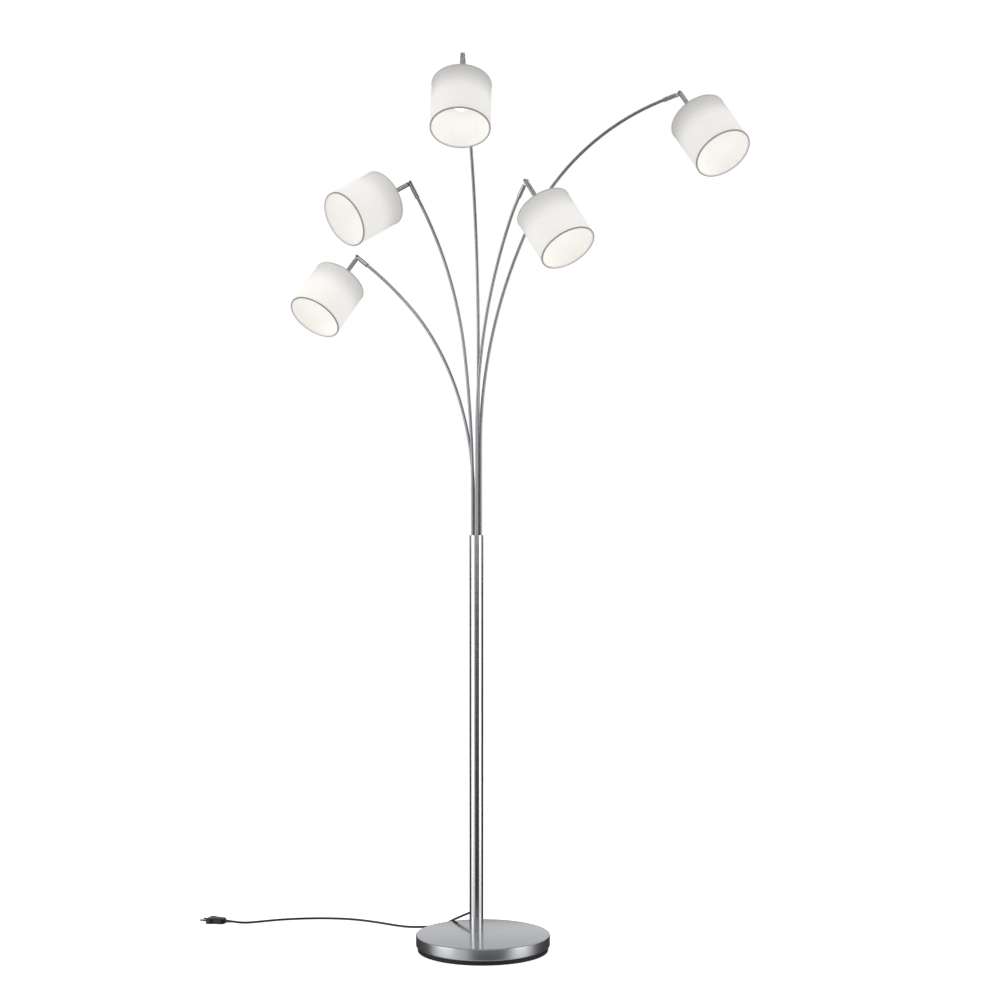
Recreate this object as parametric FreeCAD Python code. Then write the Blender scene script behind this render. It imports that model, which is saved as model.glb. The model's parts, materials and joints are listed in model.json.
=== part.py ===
"""Tree floor lamp: five bent arms with small drum shades on one post.

Units are millimetres and degrees, +Z up. The origin is the centre of the
round base on the floor. +Y points away from the viewer, +X to the right.
An azimuth is counted from -Y (towards the viewer) round to +X.
"""
import FreeCAD, Part
import math
import os

from FreeCAD import Matrix, Placement, Vector

# ---------------------------------------------------------------- clearances
FIT_GAP = 0.05          # radial gap of a pin, tip or plug in its hole
FACE_GAP = 0.1          # gap between flat faces that lie on each other
SEAT_GAP = 0.3          # gap between shells that lie against each other

# ---------------------------------------------------------------------- base
BASE_RADIUS = 152.0
BASE_TOP = 37.0
BASE_SHEET = 1.2
BASE_SKIRT_FOOT = 10.5
BASE_TOP_EDGE = 2.5
BASE_CURL = 3.5
FOOT_INSET = 0.5        # gap between the foot and the curled skirt
FOOT_WALL = 4.0
FOOT_FLOOR = 3.0
FOOT_EDGE = 1.5
FOOT_RIB = 3.0
FOOT_RIB_COUNT = 6
FOOT_RING_RADIUS = 97.5
FOOT_HUB_RADIUS = 20.0

# ---------------------------------------------------------------------- post
POST_X = -15.7
POST_Y = 63.6
POST_RADIUS = 16.0
POST_WALL = 1.5
POST_TOP = 940.0
INSERT_HEIGHT = 15.0
STUD_RADIUS = 5.0
NUT_FLATS = 17.0
NUT_HEIGHT = 7.0
WASHER_RADIUS = 12.0
WASHER_HEIGHT = 2.0
NUT_POCKET_RADIUS = 14.0
COLLAR_DEPTH = 28.0
COLLAR_RECESS = 0.6
COLLAR_RING = 9.4
COLLAR_SCREW_RADIUS = 2.0
COLLAR_SCREW_AZIMUTH = 25.5
COLLAR_SCREW_BELOW = 4.5
COLLAR_SCREW_DEPTH = 1.2

# ---------------------------------------------------------------------- arms
ARM_RADIUS = 3.5
ARM_BORE = 2.5
ARM_IN_COLLAR = 25.0
TIP_STRAIGHT = 2.0      # straight tube between the last bend and the sleeve
TIP_IN_SLEEVE = 24.0

# --------------------------------------------------- knuckle at the arm's end
KNUCKLE_RADIUS = 5.0
KNUCKLE_LAP = 10.6
KNUCKLE_EDGE = 0.5
SLEEVE_LENGTH = 40.0    # from the pivot to the mouth that takes the arm
PIVOT_SCREW_RADIUS = 1.6
PIVOT_HEAD_RADIUS = 3.1
PIVOT_SEAT = 3.3
PIVOT_HEAD_RISE = 1.9
PIVOT_KEY = 1.1

# ----------------------------------------- shade head, measured from its pivot
PIVOT_TO_SHADE = 86.0   # from the pivot to the upper edge
SHADE_HEIGHT = 122.0
SHADE_RADIUS = 65.0
SHADE_SKIN = 1.0
WIRE_RADIUS = 1.5
SPOKE_RADIUS = 1.3
SPOKE_COUNT = 3
HUB_THICKNESS = 1.4
HUB_GAP = 0.2           # radial gap of the hub and its ring round the holder
HUB_RADIUS = 19.0
HUB_BELOW_TOP = 6.0
HOLDER_RADIUS = 14.0
HOLDER_TOP = 59.0
HOLDER_NECK_RADIUS = 8.0
HOLDER_CAP_LENGTH = 9.0
HOLDER_MOUTH = 104.0
HOLDER_FLANGE = 2.2
SOCKET_RADIUS = 8.0
SOCKET_DEPTH = 26.0
STEM_IN_HOLDER = 8.0
RING_LENGTH = 8.0
RING_RADIUS = 18.6
RING_GROOVE = 0.9
RING_GROOVE_COUNT = 12
BULB_RADIUS = 22.5
BULB_CENTRE = 131.0
BULB_CAP_RADIUS = 6.9
BULB_CAP_GAP = 0.5
BULB_NECK_RADIUS = 9.5
BULB_NECK_ANGLE = 45.0

# Each arm stands in its slot of the collar, rises straight to "rise", then
# bends outwards in the upright plane "plane" over arcs of (radius, angle).
# Each shade is aimed by its azimuth and its angle below the horizon.
HEADS = [
    dict(slot=152.0, plane=-8.37, rise=1365.0, bends=((1018.0, 36.0),), aim=(-1.9, 60.3)),
    dict(slot=80.0, plane=75.7, rise=1144.6, bends=((1167.0, 24.6), (546.0, 46.3)), aim=(37.1, 48.3)),
    dict(slot=8.0, plane=55.3, rise=1186.0, bends=((1249.0, 22.2), (400.0, 7.4)), aim=(45.5, 51.7)),
    dict(slot=-64.0, plane=-101.1, rise=1027.4, bends=((2957.0, 6.4), (1020.0, 21.3)), aim=(-52.1, 28.8)),
    dict(slot=-136.0, plane=-129.8, rise=1028.6, bends=((610.0, 47.0), (1125.0, 9.3)), aim=(-43.5, 48.5)),
]

# ---------------------------------------------------------------------- cord
CORD_DIAMETER = 5.2
CORD_AXIS = 2.7         # height of the cord's axis where it lies on the floor
CORD_EXIT_HEIGHT = 62.0
CORD_EXIT_AZIMUTH = -165.0
GROMMET_NECK = 4.5
GROMMET_FLANGE_RADIUS = 6.0
GROMMET_FLANGE = 1.8
GROMMET_LENGTH = 20.0
GROMMET_TIP_RADIUS = 3.4
COIL_CENTRE = (52.0, 216.0)
COIL_OUTER = 36.0
COIL_PITCH = 5.75
COIL_LAYER = 5.75
COIL_TURNS = 4.5        # half of them in each layer

# ------------------------------------------------------------ switch and plug
SWITCH_CENTRE = (-16.0, 180.0)
SWITCH_LENGTH = 62.0
SWITCH_WIDTH = 28.0
SWITCH_HEIGHT = 17.0
SWITCH_SPLIT = 8.0
SWITCH_WALL = 2.0
SWITCH_CORNER = 10.0
SWITCH_EDGE = 1.2
SWITCH_CORD_HEIGHT = 4.2
BLOCK_LENGTH = 22.0
BLOCK_WIDTH = 14.0
BUTTON_RADIUS = 9.5
BUTTON_RISE = 3.5
BUTTON_TRAVEL = 2.2
BUTTON_LIP = 1.2
BUTTON_LIP_HEIGHT = 1.8
BUTTON_STEM_RADIUS = 3.0
PLUG_AXIS = (-0.95, 0.312)
PLUG_THICKNESS = 13.8
PLUG_RELIEF = 14.0
PLUG_RELIEF_RADIUS = 4.0
PLUG_RELIEF_TIP = 3.2
PLUG_EDGE = 2.0
PLUG_OUTLINE = ((0.0, 7.5), (6.0, 11.5), (25.0, 13.0), (32.0, 17.5), (42.0, 17.5))
PIN_RADIUS = 2.0
PIN_LENGTH = 19.0
PIN_IN_PLUG = 8.0
PIN_SPACING = 18.6

os.makedirs("parts", exist_ok=True)


# ================================================================== geometry
def save(name, *solids):
    """Write one node; several separate solids make a group."""
    shape = solids[0] if len(solids) == 1 else Part.makeCompound(list(solids))
    if not shape.isValid() or min(solid.Volume for solid in shape.Solids) <= 0.0:
        raise ValueError("bad solid in " + name)
    shape.exportStep("parts/" + name + ".step")


def profile_face(points):
    """Closed profile in the XZ plane. A point of three values, (x, z, middle),
    is reached by an arc through its middle, any other by a straight line."""
    edges = []
    previous = points[-1]
    for point in points:
        start = Vector(previous[0], 0, previous[1])
        end = Vector(point[0], 0, point[1])
        if len(point) == 3:
            middle = Vector(point[2][0], 0, point[2][1])
            edges.append(Part.Arc(start, middle, end).toShape())
        else:
            edges.append(Part.makeLine(start, end))
        previous = point
    return Part.Face(Part.Wire(edges))


def turned(points):
    """Solid of revolution about +Z of a profile given as (radius, height)."""
    return profile_face(points).revolve(Vector(0, 0, 0), Vector(0, 0, 1), 360.0)


def on_circle(centre_x, centre_z, radius, angle):
    """Point of a circle, used as an end or the middle of an arc."""
    turn = math.radians(angle)
    return (centre_x + radius * math.cos(turn), centre_z + radius * math.sin(turn))


def rod(radius, start, end):
    """Solid cylinder from one point to another."""
    return Part.makeCylinder(radius, (end - start).Length, start, end - start)


def ring(outer, inner, low, high):
    """Upright tube about Z."""
    return turned([(inner, low), (outer, low), (outer, high), (inner, high)])


def compass(azimuth):
    """Level unit vector of an azimuth."""
    turn = math.radians(azimuth)
    return Vector(math.sin(turn), -math.cos(turn), 0)


def local_frame(origin, x_axis, z_axis):
    """Placement whose X and Z axes have the given directions."""
    x_axis = Vector(x_axis).normalize()
    z_axis = Vector(z_axis).normalize()
    y_axis = z_axis.cross(x_axis)
    rows = [[x, y, z, place] for x, y, z, place in zip(x_axis, y_axis, z_axis, origin)]
    return Placement(Matrix(*rows[0], *rows[1], *rows[2], 0, 0, 0, 1))


def placed(shape, placement):
    """Copy of a shape moved into a local frame."""
    copy = shape.copy()
    copy.Placement = placement.multiply(copy.Placement)
    return copy


def swept(wire, radius):
    """Round tube along a smooth wire."""
    edge = wire.OrderedEdges[0]
    start = edge.valueAt(edge.FirstParameter)
    heading = edge.tangentAt(edge.FirstParameter)
    section = Part.Wire(Part.makeCircle(radius, start, heading))
    return wire.makePipeShell([section], True, False)


# ====================================================================== base
def base_cover():
    """Spun metal cover: flat top, straight wall, lower edge curled inwards."""
    edge_x = BASE_RADIUS - BASE_TOP_EDGE
    edge_z = BASE_TOP - BASE_TOP_EDGE
    curl_x = BASE_RADIUS - BASE_CURL
    curl_z = BASE_SKIRT_FOOT + BASE_CURL
    inner_edge = BASE_TOP_EDGE - BASE_SHEET
    inner_curl = BASE_CURL - BASE_SHEET
    shell = turned([
        (0, BASE_TOP - BASE_SHEET),
        (0, BASE_TOP),
        (edge_x, BASE_TOP),
        (BASE_RADIUS, edge_z, on_circle(edge_x, edge_z, BASE_TOP_EDGE, 45)),
        (BASE_RADIUS, curl_z),
        (curl_x, BASE_SKIRT_FOOT, on_circle(curl_x, curl_z, BASE_CURL, -45)),
        (curl_x, BASE_SKIRT_FOOT + BASE_SHEET),
        (BASE_RADIUS - BASE_SHEET, curl_z, on_circle(curl_x, curl_z, inner_curl, -45)),
        (BASE_RADIUS - BASE_SHEET, edge_z),
        (edge_x, BASE_TOP - BASE_SHEET, on_circle(edge_x, edge_z, inner_edge, 45)),
    ])
    return shell.cut(post_hole())


def post_hole():
    """Hole for the stud under the post."""
    radius = STUD_RADIUS + SEAT_GAP
    return Part.makeCylinder(radius, BASE_TOP + 2.0, Vector(POST_X, POST_Y, 0))


def weight_foot():
    """Height of the cast weight's underside."""
    return BASE_SKIRT_FOOT + BASE_SHEET + SEAT_GAP


def base_weight():
    """Cast disc that fills the cover, with a pocket for the nut."""
    curl_x = BASE_RADIUS - BASE_CURL
    curl_z = BASE_SKIRT_FOOT + BASE_CURL
    reach = BASE_CURL - BASE_SHEET - SEAT_GAP
    shoulder = BASE_TOP - BASE_TOP_EDGE
    top = BASE_TOP - BASE_SHEET - FACE_GAP
    outer = BASE_RADIUS - BASE_SHEET - SEAT_GAP
    disc = turned([
        (0, weight_foot()),
        (curl_x, weight_foot()),
        (outer, curl_z, on_circle(curl_x, curl_z, reach, -45)),
        (outer, shoulder),
        (BASE_RADIUS - BASE_TOP_EDGE, top),
        (0, top),
    ])
    pocket_height = nut_pocket_top() - weight_foot() + 1.0
    pocket_foot = Vector(POST_X, POST_Y, weight_foot() - 1.0)
    pocket = Part.makeCylinder(NUT_POCKET_RADIUS, pocket_height, pocket_foot)
    return disc.cut(post_hole()).cut(pocket)


def nut_pocket_top():
    return weight_foot() + NUT_HEIGHT + WASHER_HEIGHT + 2 * FACE_GAP


def base_foot():
    """Moulded pan under the weight: floor, rim wall, inner ring and ribs."""
    outer = BASE_RADIUS - BASE_CURL - FOOT_INSET
    top = weight_foot() - FACE_GAP
    corner = on_circle(outer - FOOT_EDGE, FOOT_EDGE, FOOT_EDGE, -45)
    pan = turned([
        (0, 0),
        (outer - FOOT_EDGE, 0),
        (outer, FOOT_EDGE, corner),
        (outer, top),
        (outer - FOOT_WALL, top),
        (outer - FOOT_WALL, FOOT_FLOOR),
        (FOOT_RING_RADIUS, FOOT_FLOOR),
        (FOOT_RING_RADIUS, top),
        (FOOT_RING_RADIUS - FOOT_RIB, top),
        (FOOT_RING_RADIUS - FOOT_RIB, FOOT_FLOOR),
        (FOOT_HUB_RADIUS, FOOT_FLOOR),
        (FOOT_HUB_RADIUS, top),
        (0, top),
    ])
    length = outer - FOOT_WALL - FOOT_HUB_RADIUS + 1.0
    corner_point = Vector(FOOT_HUB_RADIUS - 0.5, -FOOT_RIB / 2, FOOT_FLOOR / 2)
    rib = Part.makeBox(length, FOOT_RIB, top - FOOT_FLOOR / 2, corner_point)
    room = Part.makeBox(length, FOOT_RIB, FOOT_FLOOR / 2, Vector(corner_point.x, corner_point.y, top))
    rib = rib.cut(room)
    ribs = []
    for index in range(FOOT_RIB_COUNT):
        copy = rib.copy()
        copy.rotate(Vector(0, 0, 0), Vector(0, 0, 1), 360.0 * index / FOOT_RIB_COUNT)
        ribs.append(copy)
    return pan.multiFuse(ribs).removeSplitter()


# ====================================================================== post
def post_point(azimuth, distance, height):
    """Point at a distance from the post's axis."""
    return Vector(POST_X, POST_Y, height) + compass(azimuth) * distance


def post_tube():
    """Post with the holes for the cord and the collar's grub screw."""
    foot = BASE_TOP + FACE_GAP
    tube = ring(POST_RADIUS, POST_RADIUS - POST_WALL, foot, POST_TOP)
    tube.translate(Vector(POST_X, POST_Y, 0))
    cord_hole = rod(
        GROMMET_NECK + FIT_GAP,
        post_point(CORD_EXIT_AZIMUTH, 0, CORD_EXIT_HEIGHT),
        post_point(CORD_EXIT_AZIMUTH, 2 * POST_RADIUS, CORD_EXIT_HEIGHT))
    height = POST_TOP - COLLAR_SCREW_BELOW
    screw_hole = rod(
        COLLAR_SCREW_RADIUS + FIT_GAP,
        post_point(COLLAR_SCREW_AZIMUTH, 0, height),
        post_point(COLLAR_SCREW_AZIMUTH, 2 * POST_RADIUS, height))
    return tube.cut(cord_hole).cut(screw_hole)


def post_fixing():
    """Insert in the post's foot, stud, washer and nut under the weight."""
    low = BASE_TOP + FACE_GAP
    insert = ring(POST_RADIUS - POST_WALL - FIT_GAP, STUD_RADIUS + FIT_GAP, low, low + INSERT_HEIGHT)
    nut_low = weight_foot() + FACE_GAP
    nut_high = nut_low + NUT_HEIGHT
    stud = Part.makeCylinder(STUD_RADIUS, low + INSERT_HEIGHT - nut_low, Vector(0, 0, nut_low))
    washer = ring(WASHER_RADIUS, STUD_RADIUS + FIT_GAP, nut_high, nut_high + WASHER_HEIGHT)
    corner = NUT_FLATS / math.sqrt(3.0)
    corners = [Vector(*on_circle(0, 0, corner, 60.0 * side), nut_low) for side in range(7)]
    nut = Part.Face(Part.makePolygon(corners)).extrude(Vector(0, 0, NUT_HEIGHT))
    nut = nut.cut(Part.makeCylinder(STUD_RADIUS + FIT_GAP, 2 * NUT_HEIGHT, Vector(0, 0, nut_low - 1)))
    pieces = [insert, stud, washer, nut]
    for piece in pieces:
        piece.translate(Vector(POST_X, POST_Y, 0))
    return pieces


def collar():
    """Plug in the top of the post with five bores for the arms."""
    top = POST_TOP - COLLAR_RECESS
    outer = POST_RADIUS - POST_WALL - FIT_GAP
    body = Part.makeCylinder(outer, COLLAR_DEPTH, Vector(POST_X, POST_Y, top - COLLAR_DEPTH))
    bores = []
    for head in HEADS:
        low = post_point(head["slot"], COLLAR_RING, top - ARM_IN_COLLAR - FACE_GAP)
        bores.append(Part.makeCylinder(ARM_RADIUS + FIT_GAP, ARM_IN_COLLAR + 2.0, low))
    height = POST_TOP - COLLAR_SCREW_BELOW
    seat = rod(
        COLLAR_SCREW_RADIUS + FIT_GAP,
        post_point(COLLAR_SCREW_AZIMUTH, outer - COLLAR_SCREW_DEPTH, height),
        post_point(COLLAR_SCREW_AZIMUTH, 2 * outer, height))
    return body.cut(Part.makeCompound(bores)).cut(seat)


def collar_screw():
    """Grub screw that clamps the collar in the post."""
    height = POST_TOP - COLLAR_SCREW_BELOW
    inner = POST_RADIUS - POST_WALL - COLLAR_SCREW_DEPTH
    return rod(
        COLLAR_SCREW_RADIUS,
        post_point(COLLAR_SCREW_AZIMUTH, inner, height),
        post_point(COLLAR_SCREW_AZIMUTH, POST_RADIUS - FACE_GAP, height))


# ====================================================================== arms
def arm_route(head):
    """Corner points of an arm: [start, end of rise, (middle, end) of each bend],
    the point where the bends end, and the direction of its tip."""
    out = compass(head["plane"])
    up = Vector(0, 0, 1)
    start = post_point(head["slot"], COLLAR_RING, POST_TOP - COLLAR_RECESS - ARM_IN_COLLAR)
    point = Vector(start.x, start.y, head["rise"])
    edges = [Part.makeLine(start, point)]
    angle = 0.0
    for radius, sweep in head["bends"]:
        centre = point + (out * math.cos(angle) - up * math.sin(angle)) * radius
        ends = []
        for share in (0.5, 1.0):
            turn = angle + math.radians(sweep) * share
            ends.append(centre + (up * math.sin(turn) - out * math.cos(turn)) * radius)
        edges.append(Part.Arc(point, ends[0], ends[1]).toShape())
        point = ends[1]
        angle += math.radians(sweep)
    heading = out * math.sin(angle) + up * math.cos(angle)
    return edges, point, heading


def arm_tube(head):
    """Bent tube from the collar to its tip inside the sleeve."""
    edges, point, heading = arm_route(head)
    tip = point + heading * (TIP_STRAIGHT + TIP_IN_SLEEVE)
    wire = Part.Wire(edges + [Part.makeLine(point, tip)])
    return swept(wire, ARM_RADIUS).cut(swept(wire, ARM_BORE))


def head_axes(head):
    """Pivot, arm direction, shade direction and pivot axis of a head."""
    _, point, heading = arm_route(head)
    pivot = point + heading * (TIP_STRAIGHT + SLEEVE_LENGTH)
    azimuth, drop = head["aim"]
    level = math.cos(math.radians(drop))
    aim = compass(azimuth) * level - Vector(0, 0, 1) * math.sin(math.radians(drop))
    return pivot, heading, aim, heading.cross(aim).normalize()


# =================================================================== knuckle
def half_lap(length, side):
    """Round bar from the pivot along +Z whose end is milled to one half, with
    a rounded end and a seat for the pivot screw. The pivot axis is X."""
    low = -KNUCKLE_RADIUS
    bar = turned([
        (0, low),
        (KNUCKLE_RADIUS, low),
        (KNUCKLE_RADIUS, length - KNUCKLE_EDGE),
        (KNUCKLE_RADIUS - KNUCKLE_EDGE, length),
        (0, length),
    ])
    size = 4 * KNUCKLE_RADIUS
    round_end = rod(KNUCKLE_RADIUS, Vector(-size, 0, 0), Vector(size, 0, 0))
    straight = Part.makeBox(2 * size, 2 * size, length + 1, Vector(-size, -size, 0))
    bar = bar.common(round_end.fuse(straight))
    milled = Part.makeBox(size, 2 * size, KNUCKLE_LAP - low + 1, Vector(FACE_GAP / 2 - size, -size, low - 1))
    reach = KNUCKLE_RADIUS + 1
    hole = rod(PIVOT_SCREW_RADIUS + FIT_GAP, Vector(-reach, 0, 0), Vector(reach, 0, 0))
    seat = rod(PIVOT_HEAD_RADIUS + FACE_GAP, Vector(PIVOT_SEAT, 0, 0), Vector(reach, 0, 0))
    bar = bar.cut(milled).cut(hole).cut(seat)
    if side < 0:
        bar.rotate(Vector(0, 0, 0), Vector(0, 0, 1), 180)
    return bar


def knuckle_sleeve():
    """Sleeve that turns on the arm's tip; its half of the lap is on +X."""
    bore = Part.makeCylinder(
        ARM_RADIUS + FIT_GAP, TIP_IN_SLEEVE + 2.0, Vector(0, 0, SLEEVE_LENGTH - TIP_IN_SLEEVE - FACE_GAP))
    return half_lap(SLEEVE_LENGTH, 1).cut(bore)


def knuckle_stem():
    """Stem that carries the lampholder; its half of the lap is on -X."""
    return half_lap(HOLDER_TOP + STEM_IN_HOLDER, -1)


def pivot_screw():
    """Domed screw through the lap and the nut on its other side."""
    seat = PIVOT_SEAT + FIT_GAP
    crown = seat + PIVOT_HEAD_RISE
    edge = crown - PIVOT_HEAD_RISE / 2
    middle = ((PIVOT_HEAD_RADIUS + PIVOT_KEY) / 2, crown - PIVOT_HEAD_RISE / 7)
    screw = turned([
        (0, -seat - PIVOT_HEAD_RISE / 2),
        (PIVOT_SCREW_RADIUS, -seat - PIVOT_HEAD_RISE / 2),
        (PIVOT_SCREW_RADIUS, seat),
        (PIVOT_HEAD_RADIUS, seat),
        (PIVOT_HEAD_RADIUS, edge),
        (PIVOT_KEY, crown, middle),
        (PIVOT_KEY, edge),
        (0, edge),
    ])
    nut = ring(PIVOT_HEAD_RADIUS, PIVOT_SCREW_RADIUS + FIT_GAP, -seat - PIVOT_HEAD_RISE / 2, -seat)
    return [placed(piece, local_frame(Vector(0, 0, 0), Vector(0, 1, 0), Vector(1, 0, 0))) for piece in (screw, nut)]


# ================================================================ shade head
def shade_rim():
    """Distance of the shade's lower edge from the pivot."""
    return PIVOT_TO_SHADE + SHADE_HEIGHT


def hub_top():
    return PIVOT_TO_SHADE + HUB_BELOW_TOP


def lampholder():
    """Holder with a conical cap, a flange above the hub and the lamp socket."""
    neck = KNUCKLE_RADIUS + FIT_GAP
    stem_end = HOLDER_TOP + STEM_IN_HOLDER + FACE_GAP
    flange_low = hub_top() - FACE_GAP
    return turned([
        (neck, HOLDER_TOP),
        (HOLDER_NECK_RADIUS, HOLDER_TOP),
        (HOLDER_RADIUS, HOLDER_TOP + HOLDER_CAP_LENGTH),
        (HOLDER_RADIUS, flange_low - HOLDER_FLANGE),
        (HUB_RADIUS, flange_low - HOLDER_FLANGE),
        (HUB_RADIUS, flange_low),
        (HOLDER_RADIUS, flange_low),
        (HOLDER_RADIUS, HOLDER_MOUTH),
        (SOCKET_RADIUS, HOLDER_MOUTH),
        (SOCKET_RADIUS, HOLDER_MOUTH - SOCKET_DEPTH),
        (0, HOLDER_MOUTH - SOCKET_DEPTH),
        (0, stem_end),
        (neck, stem_end),
    ])


def shade_ring():
    """Threaded ring that clamps the hub, with finger grooves round it."""
    low = hub_top() + HUB_THICKNESS + FACE_GAP
    body = ring(RING_RADIUS, HOLDER_RADIUS + HUB_GAP, low, low + RING_LENGTH)
    grooves = []
    for index in range(RING_GROOVE_COUNT):
        spot = on_circle(0, 0, RING_RADIUS + RING_GROOVE, 360.0 * index / RING_GROOVE_COUNT)
        grooves.append(Part.makeCylinder(2 * RING_GROOVE, 2 * RING_LENGTH, Vector(*spot, low - 1)))
    return body.cut(Part.makeCompound(grooves))


def shade_frame():
    """Upper wire ring with three spokes and the hub, and the lower wire ring."""
    wire_circle = SHADE_RADIUS - SHADE_SKIN - FACE_GAP - WIRE_RADIUS
    inset = WIRE_RADIUS + FACE_GAP
    upper = Part.makeTorus(wire_circle, WIRE_RADIUS, Vector(0, 0, PIVOT_TO_SHADE + inset))
    lower = Part.makeTorus(wire_circle, WIRE_RADIUS, Vector(0, 0, shade_rim() - inset))
    hub = ring(HUB_RADIUS, HOLDER_RADIUS + HUB_GAP, hub_top(), hub_top() + HUB_THICKNESS)
    spokes = []
    for index in range(SPOKE_COUNT):
        out = compass(90.0 + 360.0 * index / SPOKE_COUNT)
        root = out * (HUB_RADIUS - SPOKE_RADIUS) + Vector(0, 0, hub_top() + HUB_THICKNESS / 2)
        end = out * wire_circle + Vector(0, 0, PIVOT_TO_SHADE + inset)
        spokes.append(rod(SPOKE_RADIUS, root, end))
    return [upper.multiFuse([hub] + spokes), lower]


def shade_drum():
    """Fabric drum, open at both ends."""
    return ring(SHADE_RADIUS, SHADE_RADIUS - SHADE_SKIN, PIVOT_TO_SHADE, shade_rim())


def bulb():
    """Small round lamp with its screw cap in the socket."""
    cap_end = HOLDER_MOUTH - SOCKET_DEPTH + BULB_CAP_GAP
    neck_end = HOLDER_MOUTH + SEAT_GAP
    joint = on_circle(0, BULB_CENTRE, BULB_RADIUS, -BULB_NECK_ANGLE)
    return turned([
        (0, cap_end),
        (BULB_CAP_RADIUS, cap_end),
        (BULB_CAP_RADIUS, neck_end),
        (BULB_NECK_RADIUS, neck_end + 1.5),
        joint,
        (0, BULB_CENTRE + BULB_RADIUS, (BULB_RADIUS, BULB_CENTRE)),
    ])


# ====================================================================== cord
def relief_end():
    """Point and direction in which the cord leaves its strain relief."""
    return post_point(CORD_EXIT_AZIMUTH, POST_RADIUS + GROMMET_LENGTH, CORD_EXIT_HEIGHT)


def cord_points():
    """Hand-chosen points of the free stretches, in order from the post."""
    exit_point = relief_end()
    away = compass(CORD_EXIT_AZIMUTH)
    plug_axis = Vector(*PLUG_AXIS, 0).normalize()
    plug_bend = Vector(-600.0, 257.4, PLUG_THICKNESS / 2)
    switch_in = Vector(SWITCH_CENTRE[0] - SWITCH_LENGTH / 2, SWITCH_CENTRE[1], SWITCH_CORD_HEIGHT)
    switch_out = switch_in + Vector(SWITCH_LENGTH, 0, 0)
    coil_in, coil_out = coil_ends()
    drop = [
        exit_point,
        exit_point + away * 12.0,
        Vector(-35.5, 123.0, 56.5),
        Vector(-54.5, 131.8, 46.5),
        Vector(-76.0, 140.2, 35.2),
        Vector(-94.0, 149.0, 23.0),
        Vector(-102.0, 162.0, 13.6),
        Vector(-99.5, 176.0, 7.5),
        Vector(-89.0, 185.3, 4.2),
        Vector(-74.5, 186.8, 3.0),
        switch_in - Vector(12.5, 0, 0),
        switch_in,
    ]
    lead = [
        switch_out,
        switch_out + Vector(11.0, 0, 0),
        coil_in - Vector(10.8, 0, 0),
        coil_in,
    ]
    run = [
        coil_out,
        Vector(31.0, 252.0, CORD_AXIS),
        Vector(8.0, 254.5, CORD_AXIS),
        Vector(-20.0, 254.0, CORD_AXIS),
        Vector(-52.0, 248.5, CORD_AXIS),
        Vector(-88.0, 238.0, CORD_AXIS),
        Vector(-122.0, 225.0, CORD_AXIS),
        Vector(-155.0, 218.5, CORD_AXIS),
        Vector(-186.0, 222.0, CORD_AXIS),
        Vector(-215.0, 239.5, CORD_AXIS),
        Vector(-262.0, 274.0, CORD_AXIS),
        Vector(-318.0, 304.0, CORD_AXIS),
        Vector(-379.0, 315.0, CORD_AXIS),
        Vector(-439.0, 312.0, CORD_AXIS),
        Vector(-496.0, 299.0, CORD_AXIS),
        Vector(-536.0, 280.0, CORD_AXIS),
        Vector(-569.0, 264.5, 2.9),
        Vector(-589.0, 258.6, 4.8),
        plug_bend,
        plug_bend + plug_axis * 11.5,
    ]
    return drop, lead, run


def tube_along(points):
    """Cord tube of straight runs joined by tangent arcs, its length and the
    smallest radius of its arcs."""
    edges = []
    place = points[0]
    smallest = math.inf
    for before, corner, after in zip(points, points[1:], points[2:]):
        back = (before - corner).normalize()
        ahead = (after - corner).normalize()
        half_turn = (math.pi - back.getAngle(ahead)) / 2
        trim = 0.45 * min((before - corner).Length, (after - corner).Length)
        radius = trim / math.tan(half_turn)
        smallest = min(smallest, radius)
        arc_start = corner + back * trim
        arc_end = corner + ahead * trim
        inward = (back + ahead).normalize()
        middle = corner + inward * (radius / math.cos(half_turn) - radius)
        edges.append(Part.makeLine(place, arc_start))
        edges.append(Part.Arc(arc_start, middle, arc_end).toShape())
        place = arc_end
    edges.append(Part.makeLine(place, points[-1]))
    wire = Part.Wire(edges)
    return swept(wire, CORD_DIAMETER / 2), wire.Length, smallest


def coil_ends():
    """Centre of the tube at the coil's two ends: in on top, out on the floor."""
    x, y = COIL_CENTRE
    start = Vector(x - CORD_DIAMETER, y - COIL_OUTER, CORD_AXIS + COIL_LAYER)
    end = Vector(x - CORD_DIAMETER, y + COIL_OUTER, CORD_AXIS)
    return start, end


def coil_point(turns):
    """Point of the winding after so many turns. It spirals in on the upper
    layer, climbs down in the half turn where it reverses, and out again."""
    away = turns - COIL_TURNS / 2
    radius = COIL_OUTER - COIL_PITCH * (COIL_TURNS / 2 - abs(away))
    share = min(max(away / 0.5 + 0.5, 0.0), 1.0)
    drop = share * share * (3 - 2 * share)
    turn = math.radians(360.0 * turns - 90.0)
    return Vector(
        COIL_CENTRE[0] + radius * math.cos(turn),
        COIL_CENTRE[1] + radius * math.sin(turn),
        CORD_AXIS + COIL_LAYER * (1 - drop))


def coil_heading(turns):
    """Direction of the winding; its two ends run level and square."""
    if turns <= 0.0:
        return Vector(1, 0, 0)
    if turns >= COIL_TURNS:
        return Vector(-1, 0, 0)
    step = 0.001
    return (coil_point(turns + step) - coil_point(turns - step)).normalize()


def biarc(start, start_way, end, end_way):
    """Two arcs that join smoothly, from one point and direction to another."""
    span = end - start
    ways = start_way + end_way
    lean = 2 * (1 - start_way.dot(end_way))
    along = span.dot(ways)
    reach = (-along + math.sqrt(along * along + lean * span.dot(span))) / lean
    joint = (start + start_way * reach + end - end_way * reach) * 0.5
    return [arc_from(start, start_way, joint), arc_from(end, end_way * -1, joint, True)]


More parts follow.
